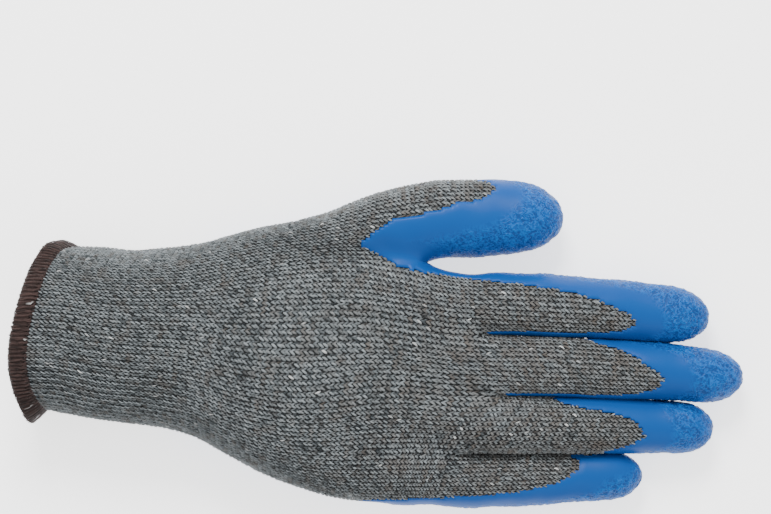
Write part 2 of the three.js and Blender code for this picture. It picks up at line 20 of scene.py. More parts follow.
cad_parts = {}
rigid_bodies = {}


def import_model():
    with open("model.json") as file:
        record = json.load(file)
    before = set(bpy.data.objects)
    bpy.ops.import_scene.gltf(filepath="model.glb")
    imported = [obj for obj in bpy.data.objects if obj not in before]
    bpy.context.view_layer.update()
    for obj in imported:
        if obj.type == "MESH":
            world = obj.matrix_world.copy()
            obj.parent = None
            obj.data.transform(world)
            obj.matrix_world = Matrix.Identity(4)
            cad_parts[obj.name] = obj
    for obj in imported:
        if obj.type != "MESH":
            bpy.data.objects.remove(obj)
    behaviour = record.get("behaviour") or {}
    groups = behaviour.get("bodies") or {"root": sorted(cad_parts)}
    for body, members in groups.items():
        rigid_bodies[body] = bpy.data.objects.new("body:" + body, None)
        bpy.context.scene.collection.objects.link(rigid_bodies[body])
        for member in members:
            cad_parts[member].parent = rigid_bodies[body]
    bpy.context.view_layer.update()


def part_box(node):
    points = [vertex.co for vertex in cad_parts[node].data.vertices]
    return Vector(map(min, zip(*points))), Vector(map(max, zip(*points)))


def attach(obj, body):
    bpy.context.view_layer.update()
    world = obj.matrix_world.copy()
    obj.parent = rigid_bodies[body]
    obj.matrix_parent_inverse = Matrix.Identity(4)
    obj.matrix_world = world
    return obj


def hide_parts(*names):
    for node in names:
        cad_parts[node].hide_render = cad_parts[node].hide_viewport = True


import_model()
random = np.random.default_rng(7)
MM = 0.001

# %% [markdown]
# ## The measures
#
# Gloves are sold by the width of the hand and the whole length, so these and the other lengths come first, in
# millimetres, the same as the solids'. In this frame x = 0 is at the side corners of the cuff's rim; the
# shift to the row frame is read from the solids. Loose numbers in the steps would be shorter, but a named
# length can be changed in one place.

# %% Named lengths
CUFF_LENGTH, HAND_LENGTH = 45, 108
CUFF_WIDTH, CUFF_DEPTH, HAND_DEPTH = 60, 40, 38
THUMB_WIDTH, THUMB_DEPTH, THUMB_LENGTH, THUMB_DRIFT = 27, 25, 52.5, 0.01
FINGER_SPACING, THUMB_SPACING, FINGER_WEB, THUMB_WEB = 2.9, 3.4, 1.4, 2
RIM_FORWARD, RIM_BOW_BACK, RIM_BOW_PALM, RIM_SLANT, RIM_FULL, RIM_SHARP = 1.9, 10.4, 9.5, 5.9, 0.45, 1.5
HEM_WIDTH, HEM_THICKNESS, HEM_GAP = 5.7, 3.0, 0.35
FLARE_THUMB_SIDE, FLARE_OUTER_SIDE = 2.4, 5.2
PRESS, RING_STEP, COAT_BUILD = 2.4, 9, 1.2
ULNAR_SEAM = 0.8

# name, width, length, drift, height of the centre line at the root, crotch on the thumb side
FINGERS = [
    ("index", 19.3, 84.2, -0.061, 0.86, 0.935),
    ("middle", 18.5, 92.8, -0.05, 0.92, 0.95),
    ("ring", 17.9, 87, -0.024, 0.9, 1.0),
    ("little", 16.6, 72.4, 0.022, 0.78, 0.86),
]


# %% Blending helpers
def lerp(a, b, t):
    return a + (b - a) * t


def clamp01(t):
    return min(1, max(0, t))


def ease(t):
    t = clamp01(t)
    return t * t * (3 - 2 * t)


def smooth(t):
    t = np.clip(t, 0, 1)
    return t * t * (3 - 2 * t)


def along(rows, at, column):
    """One column of a table at a place, on a smooth curve through its rows."""
    last = len(rows) - 1
    if at <= rows[0][0]:
        return rows[0][column]
    if at >= rows[last][0]:
        return rows[last][column]
    k = next(i for i, row in enumerate(rows) if row[0] > at) - 1

    def slope(i):
        a, b = rows[max(0, i - 1)], rows[min(last, i + 1)]
        return (b[column] - a[column]) / (b[0] - a[0])

    step = rows[k + 1][0] - rows[k][0]
    t = (at - rows[k][0]) / step
    straight = lerp(rows[k][column], rows[k + 1][column], ease(t))
    return straight + t * (1 - t) * step * ((1 - t) * slope(k) - t * slope(k + 1))


# %% Places of the roots
def hand_at(share):
    return CUFF_LENGTH + share * HAND_LENGTH


seams = [finger[5] for finger in FINGERS] + [ULNAR_SEAM]
root_x = [hand_at((seams[n] + seams[n + 1]) / 2) for n in range(4)]
hand_width = sum(finger[1] for finger in FINGERS) + 3 * FINGER_SPACING
web_y, ulnar_y = 0.34 * hand_width, -0.727 * hand_width
thumb_crotch = hand_at(0.75)
finger_y = []
edge = ulnar_y
for finger in reversed(FINGERS):
    finger_y.insert(0, edge + finger[1] / 2)
    edge += finger[1] + FINGER_SPACING
index_edge = finger_y[0] + FINGERS[0][1] / 2
print("hand width", round(hand_width, 1), "mm, thumb crotch", round(thumb_crotch, 1), "mm from the rim")

# %% [markdown]
# ## Sections of cuff and hand
#
# An empty glove lies half flat: the cuff is an oval, the hand a wider and squarer one, and the thumb has a
# lobe of its own. Each row of the table is one section. A scan of a hand would be truer, but rows that are
# shares of the widths and depths above stay right when those change.

# %% Table of sections
CUFF_WEB = 0.3


def cuff_row(share, radial, ulnar):
    w = CUFF_WIDTH
    return (share * CUFF_LENGTH, radial * w, CUFF_WEB * w, ulnar * w, CUFF_DEPTH, CUFF_DEPTH)


def palm_row(share, radial, web, ulnar, depth, thumb_depth):
    w, d = hand_width, HAND_DEPTH
    return (hand_at(share), radial * w, web * w, ulnar * w, depth * d, thumb_depth * d)


def thumb_row(share, radial, web, ulnar, depth, thumb_depth):
    reach = web_y + radial * THUMB_WIDTH
    return (hand_at(share), reach, web, ulnar * hand_width, depth * HAND_DEPTH, thumb_depth * THUMB_DEPTH)


# place, reach to the thumb side, line between hand and thumb, reach to the other side, depth,
# depth of the thumb's base
SECTIONS = [
    cuff_row(0, 0.545, 0.41),
    cuff_row(0.32, 0.527, 0.473),
    cuff_row(0.63, 0.512, 0.497),
    cuff_row(0.89, 0.529, 0.527),
    palm_row(0.05, 0.415, 0.26, 0.436, 1.02, 0.95),
    palm_row(0.11, 0.437, 0.28, 0.487, 1.04, 0.9),
    palm_row(0.19, 0.464, 0.3, 0.544, 1.05, 0.84),
    palm_row(0.28, 0.495, 0.325, 0.605, 1.05, 0.78),
    thumb_row(0.39, 0.53, web_y, 0.662, 1.03, 1.1),
    thumb_row(0.53, 0.74, web_y, 0.706, 1, 1.05),
    thumb_row(0.63, 0.9, web_y, 0.718, 0.97, 1),
    thumb_row(0.75, 1.02, web_y, 0.727, 0.93, 1),
    thumb_row(1, 1, index_edge, 0.727, 0.82, 1),
]
THUMB_COLUMNS, FINGER_COLUMNS, PALM_RINGS = 5, 4, 3
back_points = THUMB_COLUMNS + FINGER_COLUMNS * 4 + 1
CUFF_SQUARENESS, HAND_SQUARENESS = 2.05, 2.35
print(len(SECTIONS), "sections, up to", SECTIONS[-1][0], "mm from the rim")

# %% Finger roots
ROOT_FULLNESS = 1.06
# across, height and half thickness for each column of the back; the thumb's columns have none
roots = [None] * THUMB_COLUMNS
for i in range(THUMB_COLUMNS, back_points):
    shared = []
    for n, (name, width, length, drift, root, seam) in enumerate(FINGERS):
        j = i - THUMB_COLUMNS - n * FINGER_COLUMNS
        if 0 <= j <= FINGER_COLUMNS:
            a = math.pi * (j + 1) / (FINGER_COLUMNS + 2)
            beside = finger_y[n] + width / 2 * math.cos(a)
            shared.append((beside, root * width, ROOT_FULLNESS * width / 2 * math.sin(a)))
    roots.append(tuple(sum(s[k] for s in shared) / len(shared) for k in range(3)))

# %% Points of the body
# shares of the hand: over which it turns squarer, where the finger roots start, where the lobe starts
SQUARING, ROOT_START, LOBE_START = 0.5, 0.56, 0.08


def body_point(x, i, side):
    """One point of the cuff or hand: column i on the back (side 1) or under the palm (side -1)."""
    radial, web, ulnar, depth, thumb_depth = (along(SECTIONS, x, c) for c in range(1, 6))
    ulnar = -ulnar
    middle, half = (depth - PRESS) / 2, (depth + PRESS) / 2
    a = math.pi * (i + 1) / (back_points + 1)
    power = 2 / lerp(CUFF_SQUARENESS, HAND_SQUARENESS, ease((x - CUFF_LENGTH) / (SQUARING * HAND_LENGTH)))
    c = math.cos(a)
    tube_y = (radial + ulnar) / 2 + (radial - ulnar) / 2 * math.copysign(abs(c) ** power, c)
    tube_z = middle + side * half * max(0, math.sin(a)) ** power
    lobe_a = math.pi * (i + 1) / (THUMB_COLUMNS + 2)
    lobe = (thumb_depth - PRESS) / 2 + side * (thumb_depth + PRESS) / 2 * max(0, math.sin(lobe_a))
    if i < THUMB_COLUMNS:
        apart_y = (radial + web) / 2 + (radial - web) / 2 * math.cos(lobe_a)
        apart_z = lobe
    elif i == back_points:
        apart_y, apart_z = ulnar, middle
    else:
        share = (index_edge - roots[i][0]) / (index_edge - ulnar_y)
        rise = (1 - abs(2 * share - 1) ** HAND_SQUARENESS) ** (1 / HAND_SQUARENESS)
        k = ease((x - hand_at(ROOT_START)) / (hand_at(1) - hand_at(ROOT_START)))
        apart_y = lerp(lerp(web, ulnar, share), roots[i][0], k)
        apart_z = lerp(middle + side * half * rise, roots[i][1] + side * roots[i][2], k)
        if i == THUMB_COLUMNS and x <= thumb_crotch:
            apart_y, apart_z = web, (apart_z + lobe) / 2
    apart = ease((x - hand_at(LOBE_START)) / (thumb_crotch - hand_at(LOBE_START)))
    return x, lerp(tube_y, apart_y, apart), lerp(tube_z, apart_z, apart)


# %% Rim and crotch
RIM_TURN, RIM_TURN_START, CROTCH_FALL = 1.5, 0.35, 0.075


def rim_x(i, side):
    a = math.pi * (i + 1) / (back_points + 1)
    bow = RIM_BOW_BACK if side > 0 else RIM_BOW_PALM
    power = lerp(RIM_FULL, RIM_SHARP, ease(RIM_TURN * a / math.pi - RIM_TURN_START))
    return RIM_FORWARD + RIM_SLANT * math.cos(a) - bow * max(0, math.sin(a)) ** power


def crotch_x(i):
    across = clamp01((i - THUMB_COLUMNS) / (back_points - THUMB_COLUMNS))
    return thumb_crotch - CROTCH_FALL * HAND_LENGTH * across**2


# %% Folds
# folds start at the first share of the hand's depth and are full after the second
FOLD_START, FOLD_RAMP = 0.5, 0.3

# place along and across, size along and across, rise, heading in degrees
FOLDS = [
    (0.56, 0.1, 0.42, 0.1, -0.06, -28),
    (0.63, 0.13, 0.34, 0.1, 0.05, -24),
    (0.78, -0.45, 0.3, 0.1, -0.08, 8),
    (0.86, -0.36, 0.3, 0.09, 0.05, 14),
    (0.38, 0.27, 0.45, 0.11, -0.08, 12),
    (0.1, -0.05, 0.3, 0.9, -0.03, 0),
    (0.3, -0.33, 0.5, 0.13, -0.05, -14),
    (-0.2, 0.12, 0.32, 0.1, -0.035, 5),
]


def folded(point):
    x, y, z = point
    if z < FOLD_START * HAND_DEPTH:
        return point
    total = 0
    for at, aside, long, across, rise, heading in FOLDS:
        turn = math.radians(heading)
        dx, dy = x - hand_at(at), y - aside * hand_width
        u = (dx * math.cos(turn) + dy * math.sin(turn)) / (long * HAND_DEPTH)
        v = (dy * math.cos(turn) - dx * math.sin(turn)) / (across * HAND_DEPTH)
        total += rise * HAND_DEPTH * math.exp(-u * u - v * v)
    return x, y, z + total * ease((z / HAND_DEPTH - FOLD_START) / FOLD_RAMP)


# %% [markdown]
# ## The cage
#
# A knitting machine works round and round, and the cage grows the same way: `grow` extrudes the edges of a
# ring once and moves the new points. A remeshed solid would be easier to make, but its columns would not run
# through into the fingers. Two UV maps ride along: one counts the columns and rings inside each face, the
# other names the face, so that any place on the subdivided skin can be found again.

# %% Growing the cage
cage = bmesh.new()
inside = cage.loops.layers.uv.new("inside")
where = cage.loops.layers.uv.new("where")
face_numbers = itertools.count()


def place(x, y, z):
    return Vector((x, y, max(z, 0))) * MM


def ring_edges(ring):
    return [cage.edges.get((a, b)) for a, b in zip(ring, ring[1:] + ring[:1])]


def grow(ring, places):
    """The next ring of points, and the numbers of the new faces, one for each column."""
    made = bmesh.ops.extrude_edge_only(cage, edges=ring_edges(ring))["geom"]
    fresh = {v for v in made if isinstance(v, bmesh.types.BMVert)}
    after = []
    for vert, (x, y, z) in zip(ring, places):
        partner = next(e.other_vert(vert) for e in vert.link_edges if e.other_vert(vert) in fresh)
        partner.co = place(x, y, z)
        after.append(partner)
    numbers = []
    for i, a in enumerate(ring):
        j = (i + 1) % len(ring)
        corners = {a: (0, 0), ring[j]: (1, 0), after[j]: (1, 1), after[i]: (0, 1)}
        face = next(f for f in a.link_faces if all(v in corners for v in f.verts))
        number = next(face_numbers)
        for loop in face.loops:
            loop[inside].uv = corners[loop.vert]
            loop[where].uv = (number, 0)
        numbers.append(number)
    return after, numbers


# %% [markdown]
# ## One finger
#
# A knitted finger is a tube, fullest a little above its root, that sinks to the table along its length and
# ends in a round tip. It could be a plain capsule, but then all four would look inflated. Its rings are
# spaced like the hand's, and three more round off the tip.

# %% Growing a finger
# place along, width, height, height of the centre line
FINGER_SHAPE = [
    (0, 1.02, 1.06, 1),
    (0.2, 1.045, 1.02, 0.93),
    (0.5, 1.03, 1, 0.74),
    (0.8, 0.98, 0.95, 0.57),
    (1, 0.93, 0.88, 0.5),
]
THUMB_SHAPE = [(0, 1, 1, 1), (0.3, 1, 0.98, 0.98), (0.7, 0.98, 0.94, 0.93), (1, 0.94, 0.88, 0.88)]
TIP_ROUNDING, BEND, FULLER = 0.72, 1.5, 1.2
TIP_RINGS = (0.38, 0.7, 0.9)


def roundness(points):
    """How much a ring of so many points shrinks when it is subdivided."""
    return 1 / (2 / 3 + math.cos(2 * math.pi / points) / 3)


def grow_finger(ring, reach, width, height, centre_y, centre_z, shape, lean):
    """Rings of a finger or thumb up to the start of its tip, and where the tip ends."""
    start = [v.co.x / MM for v in ring]
    shaft_end = reach - TIP_ROUNDING * width * along(shape, 1, 1)
    mean = sum(start) / len(start)
    steps = max(3, round((shaft_end - mean) / RING_STEP))
    rows = [(k / steps, 0) for k in range(1, steps + 1)] + [(1, tip) for tip in TIP_RINGS]
    gain = roundness(len(ring))
    fuller = gain + FULLER / width
    faces = []
    for share, tip in rows:
        narrow = math.sqrt(1 - tip * tip)
        wide = width / 2 * along(shape, share, 1) * narrow * fuller
        tall = height / 2 * along(shape, share, 2) * narrow * gain
        low = centre_z * along(shape, share, 3)
        places = []
        for i in range(len(ring)):
            a = 2 * math.pi * i / len(ring)
            x = lerp(shaft_end, reach, tip) if tip else lerp(start[i], shaft_end, share)
            y = centre_y + lean * (reach - mean) * max(0, (x - mean) / (reach - mean)) ** BEND
            places.append((x, y + wide * math.cos(a), low + tall * math.sin(a)))
        ring, numbers = grow(ring, places)
        faces.append(numbers)
    return faces, (reach, centre_y + lean * (reach - mean), low)


# %% Rings of the body
body_loop = [(-1, 1)]
body_loop += [(i, 1) for i in range(back_points + 1)]
body_loop += [(i, -1) for i in range(back_points - 1, -1, -1)]
body_rings = round(thumb_crotch / RING_STEP)
ring = bmesh.ops.create_circle(cage, cap_ends=False, segments=len(body_loop), radius=1)["verts"]
for vert, (i, side) in zip(ring, body_loop):
    vert.co = place(*folded(body_point(rim_x(i, side), i, side)))
body_faces = []
for k in range(1, body_rings + 1):
    places = []
    for i, side in body_loop:
        x = lerp(rim_x(i, side), crotch_x(i), k / body_rings)
        places.append(folded(body_point(x, i, side)))
    ring, numbers = grow(ring, places)
    body_faces.append(numbers)
crotch = ring
print(body_rings, "rings of", len(body_loop), "points up to the crotch of the thumb")

# %% Thumb
def web_between(a, b, forward):
    """A point between the back and the palm side of a crotch, joined to both."""
    middle = (a.co + b.co) / 2 + Vector((forward * MM, 0, 0))
    vert = bmesh.ops.create_vert(cage, co=middle)["vert"][0]
    for other in (a, b):
        bmesh.ops.contextual_create(cage, geom=[vert, other])
    return vert


back = crotch[1 : 1 + back_points]
palm = [crotch[len(crotch) - 1 - i] for i in range(back_points)]
thumb_web = web_between(back[THUMB_COLUMNS], palm[THUMB_COLUMNS], THUMB_WEB)
thumb_ring = [crotch[0], *back[: THUMB_COLUMNS + 1], thumb_web, *reversed(palm[: THUMB_COLUMNS + 1])]
thumb_faces, thumb_tip = grow_finger(
    thumb_ring,
    thumb_crotch + THUMB_LENGTH,
    THUMB_WIDTH - THUMB_SPACING / 2,
    THUMB_DEPTH,
    web_y + (THUMB_SPACING + THUMB_WIDTH) / 2,
    (THUMB_DEPTH - PRESS / 3) / 2,
    THUMB_SHAPE,
    THUMB_DRIFT,
)
print("thumb ends", round(thumb_tip[0], 1), "mm from the rim")

# %% Rings of the hand
def seam_at(i):
    k = (i - THUMB_COLUMNS) / FINGER_COLUMNS
    n = min(3, int(k))
    return hand_at(lerp(seams[n], seams[n + 1], clamp01(k - n)))


columns = [(i, 1) for i in range(THUMB_COLUMNS, back_points + 1)]
columns += [(i, -1) for i in range(back_points - 1, THUMB_COLUMNS - 1, -1)]
ring = [thumb_web, *back[THUMB_COLUMNS:], crotch[1 + back_points], *reversed(palm[THUMB_COLUMNS:])]
start = [v.co / MM for v in ring]
hand_faces = []
for k in range(1, PALM_RINGS + 1):
    share = k / PALM_RINGS
    y = lerp(web_y - THUMB_SPACING / 2, index_edge, ease(share))
    z = lerp(start[0].z, FINGERS[0][4] * FINGERS[0][1], share)
    places = [(lerp(start[0].x, hand_at(seams[0]), share), y, z)]
    for n, (i, side) in enumerate(columns):
        x = lerp(start[n + 1].x, seam_at(min(i, back_points - 1)), share)
        places.append(folded(body_point(x, i, side)))
    ring, numbers = grow(ring, places)
    hand_faces.append(numbers)

# %% [markdown]
# ## The four fingers
#
# The last ring of the hand is cut into four loops with a bridge between neighbours, and each finger grows
# from its loop. Four tubes could be joined on instead, but so the columns run on without a seam, as wales do.

# %% Fingers
webs = [ring[0]]
for n in range(1, 4):
    k = 1 + n * FINGER_COLUMNS
    webs.append(web_between(ring[k], ring[len(ring) - k], FINGER_WEB))
webs.append(ring[1 + back_points - THUMB_COLUMNS])
finger_faces, finger_tips = [], []
for n, (name, width, length, drift, root, seam) in enumerate(FINGERS):
    first = 1 + n * FINGER_COLUMNS
    above = ring[first : first + FINGER_COLUMNS + 1]
    below = [ring[len(ring) - k] for k in range(first + FINGER_COLUMNS, first - 1, -1)]
    loop = [webs[n], *above, webs[n + 1], *below]
    reach = root_x[n] + length
    faces, tip = grow_finger(loop, reach, width, width, finger_y[n], root * width, FINGER_SHAPE, drift)
    finger_faces.append(faces)
    finger_tips.append(tip)
print("fingers end", [round(tip[0], 1) for tip in finger_tips], "mm from the rim")

# %% Placing the cage
# where the solids end, along and across
SOLID_REACH, SOLID_SIDE = 242.1, 57.6
lowest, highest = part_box("knit_shell")
shift = Vector((highest.x / MM - SOLID_REACH, lowest.y / MM + SOLID_SIDE, COAT_BUILD))
bmesh.ops.translate(cage, verts=cage.verts, vec=shift * MM)
bmesh.ops.recalc_face_normals(cage, faces=cage.faces)
highest_face = max(cage.faces, key=lambda f: f.calc_center_median().z)
if highest_face.normal.z < 0:
    bmesh.ops.reverse_faces(cage, faces=cage.faces)
print("shift", [round(value, 2) for value in shift], "mm,", len(cage.faces), "faces in the cage")

# %% [markdown]
# ## The skin
#
# Cloth is never quite even. The cage is subdivided, and noise gives it a soft unevenness that fades out where
# the glove rests on the table. A finer cage could hold it too, but the coarse one stays easy to count: each
# of its faces becomes eight steps each way.

# %% Subdividing
LEVELS = 3
STEPS = 2**LEVELS
UNEVENNESS = 0.55


def soft(co):
    """A gentle unevenness of the cloth, in metres."""
    rise = np.array([noise.noise(Vector(p) * 55) + 0.5 * noise.noise(Vector(p) * 130) for p in co])
    return rise * UNEVENNESS * MM * smooth((co[:, 2] - 2 * MM) / (6 * MM))


def subdivided(levels, name="skin"):
    """Points and normals of the cage after subdivision, and the mesh."""
    mesh = bpy.data.meshes.new(name)
    cage.to_mesh(mesh)
    obj = bpy.data.objects.new(name, mesh)
    bpy.context.collection.objects.link(obj)
    modifier = obj.modifiers.new("subdivision", "SUBSURF")
    modifier.levels = modifier.render_levels = levels
    modifier.uv_smooth = "NONE"
    fine = bpy.data.meshes.new_from_object(obj.evaluated_get(bpy.context.evaluated_depsgraph_get()))
    bpy.data.objects.remove(obj)
    bpy.data.meshes.remove(mesh)
    count = len(fine.vertices)
    co, normal = np.zeros(count * 3), np.zeros(count * 3)
    fine.vertices.foreach_get("co", co)
    fine.vertex_normals.foreach_get("vector", normal)
    co, normal = co.reshape(-1, 3), normal.reshape(-1, 3)
    return fine, co + normal * soft(co)[:, None], normal

# %% Patches
fine, points, normals = subdivided(LEVELS)
loops = len(fine.loops)
vertex = np.zeros(loops, np.int32)
fine.loops.foreach_get("vertex_index", vertex)
uv = {}
for name in ("inside", "where"):
    uv[name] = np.zeros(loops * 2, np.float32)
    fine.uv_layers[name].data.foreach_get("uv", uv[name])
    uv[name] = uv[name].reshape(-1, 2)
face_of = np.round(uv["where"][:, 0]).astype(int)
step = np.round(uv["inside"] * STEPS).astype(int)
patch = np.zeros((face_of.max() + 1, STEPS + 1, STEPS + 1, 2, 3))
patch[face_of, step[:, 1], step[:, 0], 0] = points[vertex]
patch[face_of, step[:, 1], step[:, 0], 1] = normals[vertex]
print(len(patch), "patches of", STEPS, "by", STEPS, "steps")

# %% [markdown]
# ## Wales and courses
#
# A machine knits a fixed number of wales to a finger and stacks courses of even height. Here six stitch legs
# go to each column of the cage, and a course is 1.6 mm high. `Tube` joins the patches of one tube into a grid
# that goes round and round, and finds the skin under any wale and course. Stitches could be scattered over
# the surface instead, but only counted ones line up.

# %% Tubes
WALES, COURSE = 6, 1.6
CAP_ROWS = 8


class Tube:
    """One tube of the skin. A place is (wale, course): wales count round the tube, courses along it."""

    def __init__(self, name, faces, tip=None):
        self.name = name
        grid = patch[np.array(faces)]
        rings, columns = grid.shape[:2]
        self.wales = columns * WALES
        body = grid[:, :, :STEPS, :STEPS].transpose(0, 2, 1, 3, 4, 5)
        body = body.reshape(rings * STEPS, columns * STEPS, 2, 3)
        end = grid[-1, :, STEPS, :STEPS].reshape(1, columns * STEPS, 2, 3)
        self.grid = np.concatenate([body, end])
        if tip is not None:
            self.add_tip(Vector(tip))
        self.rows = len(self.grid) - 1
        self.columns = columns * STEPS
        gaps = np.linalg.norm(np.diff(self.grid[:, :, 0], axis=0), axis=2).mean(1)
        length = np.concatenate([[0], np.cumsum(gaps)]) / MM
        self.courses = round(length[-1] / COURSE)
        self.course_at = length / length[-1] * self.courses

    def add_tip(self, tip):
        """Rows that close a finger over its tip, as a rounded cap."""
        tip = np.array((tip + shift) * MM)
        ring, normal = self.grid[-1, :, 0], self.grid[-1, :, 1]
        centre = ring.mean(0)
        high = tip[0] - centre[0]
        rows = []
        for k in range(1, CAP_ROWS + 1):
            s = k / CAP_ROWS
            point = centre + (ring - centre) * (1 - s)
            point[:, 0] += high * (1 - (1 - s) ** 2)
            facing = normal * (1 - s) + np.array([1, 0, 0]) * s
            facing /= np.linalg.norm(facing, axis=1)[:, None]
            rows.append(np.stack([point, facing], axis=1))
        self.grid = np.concatenate([self.grid, np.array(rows)])

    def at(self, wale, course):
        """Point and normal on the skin."""
        row = np.interp(course, self.course_at, np.arange(self.rows + 1))
        column = (np.asarray(wale, float) / WALES * STEPS) % self.columns
        r, c = np.minimum(row.astype(int), self.rows - 1), column.astype(int) % self.columns
        fr, fc = (row - r)[..., None, None], (column - np.floor(column))[..., None, None]
        d = (c + 1) % self.columns
        low = self.grid[r, c] * (1 - fc) + self.grid[r, d] * fc
        high = self.grid[r + 1, c] * (1 - fc) + self.grid[r + 1, d] * fc
        both = low * (1 - fr) + high * fr
        facing = both[..., 1, :]
        return both[..., 0, :], facing / np.linalg.norm(facing, axis=-1, keepdims=True)

# %% Wales and courses of each tube
tubes = [Tube("body", body_faces), Tube("thumb", thumb_faces, thumb_tip), Tube("hand", hand_faces)]
for (name, *rest), faces, tip in zip(FINGERS, finger_faces, finger_tips):
    tubes.append(Tube(name, faces, tip))
for tube in tubes:
    print(tube.name, tube.wales, "legs round,", tube.courses, "courses")

# %% [markdown]
# ## Where the knit stays bare
#
# The real glove is dipped palm down, and the latex stops among the stitches. A painted mask would give a
# smooth line; here a stitch is either bare or coated, so the edge steps from stitch to stitch. Each strip
# follows a finger: place along it as a share of its length, distance from its centre line as a share of its
# half width, first up one side and back down the other. The wrist has a line of its own, across the cuff.

# %% Strips of bare knit
BARE_THUMB = [
    (-0.17, 0.8), (-0.03, 0.84), (0.12, 0.89), (0.31, 0.92), (0.48, 0.9), (0.56, 0.75), (0.52, 0.54),
    (0.41, 0.42), (0.29, 0.36), (0.175, 0.2), (0.02, 0.07), (-0.11, 0), (-0.19, -0.12), (-0.29, -0.34),
    (-0.37, -0.62),
]
BARE_FINGERS = [
    [
        (-0.3, 1.02), (-0.12, 0.84), (0.07, 0.75), (0.24, 0.7), (0.42, 0.56), (0.565, 0.28), (0.65, 0),
        (0.695, -0.33), (0.65, -0.55), (0.565, -0.66), (0.42, -0.73), (0.24, -0.77), (0.1, -0.8),
        (0, -0.92),
    ],
    [
        (0.03, 1.1), (0.38, 1.08), (0.43, 0.92), (0.51, 0.78), (0.57, 0.6), (0.66, 0.15), (0.7, -0.2),
        (0.68, -0.45), (0.594, -0.7), (0.51, -0.78), (0.4, -0.82), (0.2, -0.82), (0.08, -0.9),
    ],
    [
        (0.1, 1.1), (0.33, 1.06), (0.37, 0.8), (0.48, 0.64), (0.6, 0.46), (0.686, 0.2), (0.73, -0.3),
        (0.65, -0.64), (0.57, -0.78), (0.52, -1.1),
    ],
    [
        (0.64, 0.8), (0.71, 0.5), (0.69, 0.2), (0.576, -0.22), (0.43, -0.46), (0.23, -0.56), (0, -0.6),
        (-0.3, -0.58), (-0.5, -0.64),
    ],
]
# across the wrist from the thumb side, and how far from the rim the latex starts, as a share of the cuff
WRIST_EDGE = [
    (-0.5, 1.38), (0.03, 1.27), (0.2, 0.98), (0.33, 0.84), (0.5, 0.77), (0.7, 0.73), (0.85, 0.76),
    (0.97, 0.87), (1.5, 1.1),
]
EDGE_LEVEL, FINGER_FALL, CUFF_EDGE, RAGGEDNESS = 0.48, 0.04, 33.6, 0.35
FAR = 400

# %% Outline of the bare knit
outline = [(hand_at(0.6), FAR)]
thumb_y, thumb_half = web_y + (THUMB_SPACING + THUMB_WIDTH) / 2, THUMB_WIDTH / 2 + COAT_BUILD
outline += [(thumb_crotch + a * THUMB_LENGTH, thumb_y + s * thumb_half) for a, s in BARE_THUMB]
for n, (name, width, length, drift, root, seam) in enumerate(FINGERS):
    for a, s in BARE_FINGERS[n]:
        x = root_x[n] + a * length
        y = finger_y[n] + drift * a * length + s * (width / 2 + COAT_BUILD)
        outline.append((x, y))
outline += [(hand_at(0.42), -FAR), (-FAR, -FAR), (-FAR, FAR)]
outline = np.array(outline)
print(len(outline), "corners round the bare knit")

# %% Sorting the stitches
def within(polygon, x, y):
    """Whether each place is inside the polygon."""
    found = np.zeros(x.shape, bool)
    for (ax, ay), (bx, by) in zip(polygon, np.roll(polygon, -1, axis=0)):
        if ay != by:
            cross = (ay > y) != (by > y)
            found ^= cross & (x < (bx - ax) * (y - ay) / (by - ay) + ax)
    return found


wrist_at = np.linspace(-0.5, 1.5, 41)
wrist_x = np.array([along(WRIST_EDGE, at, 1) * CUFF_LENGTH for at in wrist_at])


def is_bare(point):
    """Whether the knit is bare at each point of the skin, in the row frame."""
    place = point / MM - np.array(shift)
    x, y, z = place[..., 0], place[..., 1], point[..., 2] / MM
    ragged = np.sin(x * 1.9 + y * 2.7) * RAGGEDNESS
    across = (CUFF_EDGE - y) / CUFF_WIDTH
    behind_wrist = x < np.interp(across, wrist_at, wrist_x) + ragged
    above = z > EDGE_LEVEL * FINGERS[0][1] - FINGER_FALL * (x - thumb_crotch) + ragged
    return behind_wrist | (within(outline, x + ragged, y) & above)


def without_islands(bare):
    """Each stitch goes with most of the nine stitches round it."""
    padded = np.concatenate([bare[:1], bare, bare[-1:]]).astype(int)
    columns = padded[:-2] + padded[1:-1] + padded[2:]
    return columns + np.roll(columns, 1, axis=1) + np.roll(columns, -1, axis=1) > 4


for tube in tubes:
    wale = np.arange(tube.wales) + 0.5
    course = np.arange(tube.courses) + 0.5
    tube.wale, tube.course = np.meshgrid(wale, course)
    centre, _ = tube.at(tube.wale, tube.course)
    tube.bare = without_islands(is_bare(centre))
    print(tube.name, int(tube.bare.sum()), "of", tube.bare.size, "legs bare")

# %% Pieces and strands
def piece(name, verts, faces, material, values=None, stands_for=()):
    """A mesh of quads that rides on the glove. values are colours at its points."""
    verts, faces = np.asarray(verts, np.float32), np.asarray(faces, np.int32)
    mesh = bpy.data.meshes.new(name)
    mesh.vertices.add(len(verts))
    mesh.vertices.foreach_set("co", verts.ravel())
    mesh.loops.add(faces.size)
    mesh.loops.foreach_set("vertex_index", faces.ravel())
    mesh.polygons.add(len(faces))
    mesh.polygons.foreach_set("loop_start", np.arange(0, faces.size, 4, dtype=np.int32))
    mesh.polygons.foreach_set("use_smooth", np.ones(len(faces), bool))
    mesh.update(calc_edges=True)
    mesh.validate()
    if values is not None:
        layer = mesh.color_attributes.new("yarn", "FLOAT_COLOR", "POINT")
        rgba = np.ones((len(verts), 4), np.float32)
        rgba[:, :3] = values
        layer.data.foreach_set("color", rgba.ravel())
    obj = bpy.data.objects.new(name, mesh)
    bpy.context.collection.objects.link(obj)
    obj.data.materials.append(material)
    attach(obj, "root")
    if stands_for:
        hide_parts(*stands_for)
    print(name, len(verts), "points,", len(faces), "quads")
    return obj


